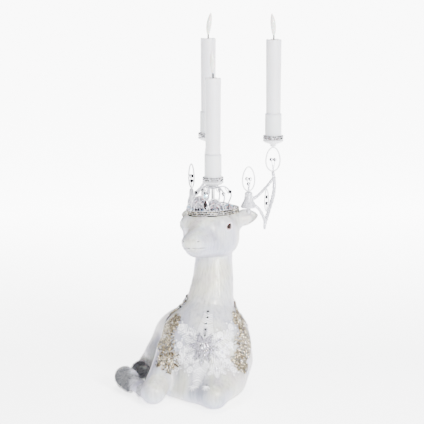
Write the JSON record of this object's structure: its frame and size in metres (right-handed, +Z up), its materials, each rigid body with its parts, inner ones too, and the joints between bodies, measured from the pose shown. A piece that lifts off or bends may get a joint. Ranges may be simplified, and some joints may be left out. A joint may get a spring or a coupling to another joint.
{
  "type": "reindeer candelabra figure",
  "caption": "Lying cast reindeer figure with a jewelled crown, wire antlers that hold battery taper candles and a snowflake collar; each candle lifts out of its sleeve.",
  "frame": {"origin": "on the resting surface, straight below the middle candle", "axes": "+X towards the animal's own left, -Y the way the chest faces, +Z up"},
  "size_m": [0.2451, 0.3167, 0.536],
  "materials": {
    "pearl_resin": "pearlescent lacquer on cast resin",
    "felt": "pressed felt",
    "eye_glass": "high gloss",
    "rhinestone": "faceted stones in a metal setting",
    "clear_gem": "faceted",
    "white_metal": "white lacquer with fine glitter",
    "bare_steel": "drawn wire",
    "silver_glitter": "silver glitter",
    "white_glitter": "white glitter",
    "gold_glitter": "pale gold glitter",
    "wax": "wax-dipped satin",
    "flame_plastic": "translucent",
    "wick": "matt black",
    "white_plastic": "moulded",
    "battery_wrap": "printed wrap without marks"
  },
  "bodies": {
    "figure": {"body_casting": "pearl_resin", "base_felt": "felt", "eye_left": "eye_glass", "eye_right": "eye_glass", "crown_band": "rhinestone", "tiara": "rhinestone", "tiara_drop_gem": "clear_gem", "tiara_round_gem": "clear_gem", "crown_cage": "white_metal", "stem_rod": "bare_steel", "antler_left": "white_metal", "top_loop_left": "white_metal", "short_loop_left": "white_metal", "hanging_loop_left": "white_metal", "antler_right": "white_metal", "top_loop_right": "white_metal", "short_loop_right": "white_metal", "hanging_loop_right": "white_metal", "cup_centre": "white_metal", "cup_stones_centre": "rhinestone", "sleeve_centre": "white_plastic", "cup_left": "white_metal", "cup_stones_left": "rhinestone", "sleeve_left": "white_plastic", "cup_right": "white_metal", "cup_stones_right": "rhinestone", "sleeve_right": "white_plastic", "flake_chest_silver": "silver_glitter", "flake_chest_lower": "silver_glitter", "flake_chest_right": "white_glitter", "flake_chest_left": "white_glitter", "flake_chest_upper": "white_glitter", "flake_gold_right": "gold_glitter", "flake_gold_left": "gold_glitter", "flake_shoulder_right": "silver_glitter", "flake_shoulder_left": "gold_glitter", "flake_withers": "silver_glitter"},
    "candle_centre": {"candle_shell_centre": "wax", "wick_centre": "wick", "flame_centre": "flame_plastic", "lamp_holder_centre": "white_plastic", "battery_lower_centre": "battery_wrap", "battery_upper_centre": "battery_wrap"},
    "cap_centre": {"battery_cap_centre": "white_plastic"},
    "candle_left": {"candle_shell_left": "wax", "wick_left": "wick", "flame_left": "flame_plastic", "lamp_holder_left": "white_plastic", "battery_lower_left": "battery_wrap", "battery_upper_left": "battery_wrap"},
    "cap_left": {"battery_cap_left": "white_plastic"},
    "candle_right": {"candle_shell_right": "wax", "wick_right": "wick", "flame_right": "flame_plastic", "lamp_holder_right": "white_plastic", "battery_lower_right": "battery_wrap", "battery_upper_right": "battery_wrap"},
    "cap_right": {"battery_cap_right": "white_plastic"}
  },
  "joints": [
    {"name": "candle_lift_centre", "type": "slide", "parent": "figure", "child": "candle_centre", "axis": [0, 0, 1], "range_m": [0, 0.06]},
    {"name": "cap_twist_centre", "type": "hinge", "parent": "candle_centre", "child": "cap_centre", "pos_m": [0, 0, 0.303], "axis": [0, 0, 1], "range_deg": [0, 60]},
    {"name": "candle_lift_left", "type": "slide", "parent": "figure", "child": "candle_left", "axis": [0, 0, 1], "range_m": [0, 0.06]},
    {"name": "cap_twist_left", "type": "hinge", "parent": "candle_left", "child": "cap_left", "pos_m": [0.08793, 0.08096, 0.3532], "axis": [0, 0, 1], "range_deg": [0, 60]},
    {"name": "candle_lift_right", "type": "slide", "parent": "figure", "child": "candle_right", "axis": [0, 0, 1], "range_m": [0, 0.06]},
    {"name": "cap_twist_right", "type": "hinge", "parent": "candle_right", "child": "cap_right", "pos_m": [-0.00701, 0.11932, 0.3532], "axis": [0, 0, 1], "range_deg": [0, 60]}
  ]
}
